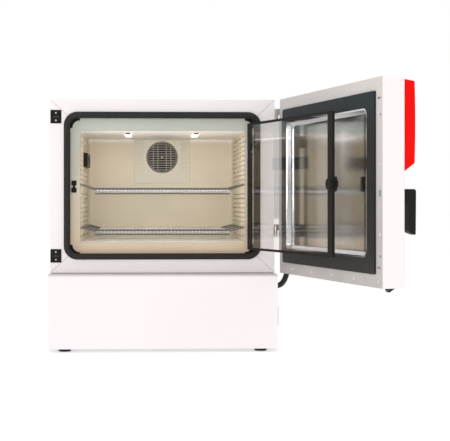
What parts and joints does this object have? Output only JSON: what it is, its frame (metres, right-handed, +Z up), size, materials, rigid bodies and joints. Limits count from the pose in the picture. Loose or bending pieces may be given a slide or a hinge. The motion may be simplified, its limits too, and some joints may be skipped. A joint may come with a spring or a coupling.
{
  "type": "laboratory incubator",
  "caption": "Cooling laboratory incubator on a refrigeration base, with an insulated outer door, an inner glass door, wire racks and a circulation fan.",
  "frame": {"origin": "on the table, under the middle of the base", "axes": "+X to the hinge side (the right, seen from the front), +Y to the rear, +Z up"},
  "size_m": [1.0513, 1.389, 0.8226],
  "materials": {
    "white_paint": "satin powder coat",
    "liner_steel": "satin stainless",
    "polished_steel": "polished stainless",
    "border_steel": "satin light grey",
    "chrome_wire": "bright",
    "screw_steel": "bright",
    "hinge_steel": "satin",
    "black_rubber": "matte",
    "black_plastic": "matte",
    "dark_panel": "matte charcoal",
    "red_plastic": "semi-gloss",
    "key_plastic": "matte grey",
    "display_glass": "gloss",
    "clear_glass": "clear",
    "lamp_lens": "diffuse",
    "foam": "rigid foam",
    "compressor_black": "satin black",
    "fin_aluminium": "mill",
    "copper": "bare",
    "zinc_steel": "galvanised"
  },
  "bodies": {
    "cabinet": {"base_front_panel": "white_paint", "base_sides": "white_paint", "base_rear_panel": "white_paint", "base_floor_pan": "zinc_steel", "feet": "black_rubber", "compressor": "compressor_black", "condenser_coil": "fin_aluminium", "condenser_fan_frame": "zinc_steel", "drip_tray": "black_plastic", "refrigerant_pipes": "copper", "power_inlet": "black_plastic", "side_vent_cover": "border_steel", "base_gland": "black_rubber", "casing_wrap": "white_paint", "casing_top": "white_paint", "casing_rear": "white_paint", "front_frame": "white_paint", "insulation": "foam", "breaker_frame": "black_plastic", "door_gasket": "black_rubber", "chamber_flange": "polished_steel", "liner": "liner_steel", "side_ducts": "liner_steel", "rear_panel": "liner_steel", "fan_cover": "liner_steel", "fan_motor": "zinc_steel", "evaporator": "fin_aluminium", "heater": "zinc_steel", "rack_runners": "liner_steel", "probe_housing": "black_plastic", "chamber_lamps": "lamp_lens", "strike_plates": "black_plastic", "cabinet_screws": "screw_steel", "glass_door_fittings": "black_plastic", "cabinet_hinges": "hinge_steel", "hose": "black_rubber"},
    "main_door": {"door_shell": "white_paint", "door_foam": "foam", "door_border": "border_steel", "door_panel": "dark_panel", "door_plate": "polished_steel", "door_screws": "screw_steel", "door_hinges": "hinge_steel", "control_housing": "red_plastic", "display_panel": "display_glass", "handle_mount": "black_plastic", "door_bumper": "black_rubber", "door_gland": "black_rubber"},
    "door_handle": {"handle_lever": "black_plastic"},
    "door_latch": {"latch_bar": "zinc_steel"},
    "glass_door": {"glass_frame": "black_plastic", "glass_pane": "clear_glass"},
    "glass_latch": {"glass_knob": "black_plastic"},
    "upper_rack": {"rack_upper": "chrome_wire"},
    "lower_rack": {"rack_lower": "chrome_wire"},
    "chamber_fan": {"fan_wheel": "black_plastic"},
    "condenser_fan": {"condenser_fan_wheel": "black_plastic"},
    "set_key": {"key_set": "key_plastic"},
    "up_key": {"key_up": "key_plastic"},
    "down_key": {"key_down": "key_plastic"}
  },
  "joints": [
    {"name": "door_swing", "type": "hinge", "parent": "cabinet", "child": "main_door", "pos_m": [0.375, -0.295, 0.536], "axis": [0, 0, 1], "range_deg": [-105, 15], "deforming": ["hose", "door_bumper"]},
    {"name": "glass_door_swing", "type": "hinge", "parent": "cabinet", "child": "glass_door", "pos_m": [0.288, -0.28, 0.536], "axis": [0, 0, 1], "range_deg": [-109.62, 15.7]},
    {"name": "handle_turn", "type": "hinge", "parent": "main_door", "child": "door_handle", "pos_m": [0.63436, -0.96159, 0.5045], "axis": [0.9659, 0.2588, 0], "range_deg": [0, 90]},
    {"name": "latch_slide", "type": "slide", "parent": "main_door", "child": "door_latch", "axis": [-0.9659, -0.2588, 0], "range_m": [0, 0.026]},
    {"name": "glass_latch_turn", "type": "hinge", "parent": "glass_door", "child": "glass_latch", "pos_m": [0.47443, -0.81549, 0.5359], "axis": [0.9421, 0.3355, 0], "range_deg": [0, 90]},
    {"name": "upper_rack_slide", "type": "slide", "parent": "cabinet", "child": "upper_rack", "axis": [0, -1, 0], "range_m": [0, 0.34]},
    {"name": "lower_rack_slide", "type": "slide", "parent": "cabinet", "child": "lower_rack", "axis": [0, -1, 0], "range_m": [0, 0.34]},
    {"name": "chamber_fan_spin", "type": "hinge", "parent": "cabinet", "child": "chamber_fan", "pos_m": [0.005, 0.295, 0.6546], "axis": [0, 1, 0], "continuous": true},
    {"name": "condenser_fan_spin", "type": "hinge", "parent": "cabinet", "child": "condenser_fan", "pos_m": [-0.18, 0.248, 0.112], "axis": [0, 1, 0], "continuous": true},
    {"name": "set_key_press", "type": "slide", "parent": "main_door", "child": "set_key", "axis": [-0.9659, -0.2588, 0], "range_m": [0, 0.0012], "stiffness_N_per_m": 300},
    {"name": "up_key_press", "type": "slide", "parent": "main_door", "child": "up_key", "axis": [-0.9659, -0.2588, 0], "range_m": [0, 0.0012], "stiffness_N_per_m": 300},
    {"name": "down_key_press", "type": "slide", "parent": "main_door", "child": "down_key", "axis": [-0.9659, -0.2588, 0], "range_m": [0, 0.0012], "stiffness_N_per_m": 300}
  ],
  "couplings": [
    {"joint": "glass_door_swing", "follows": "door_swing", "ratio": 1.0438},
    {"joint": "latch_slide", "follows": "handle_turn", "m_per_rad": 0.0165}
  ]
}
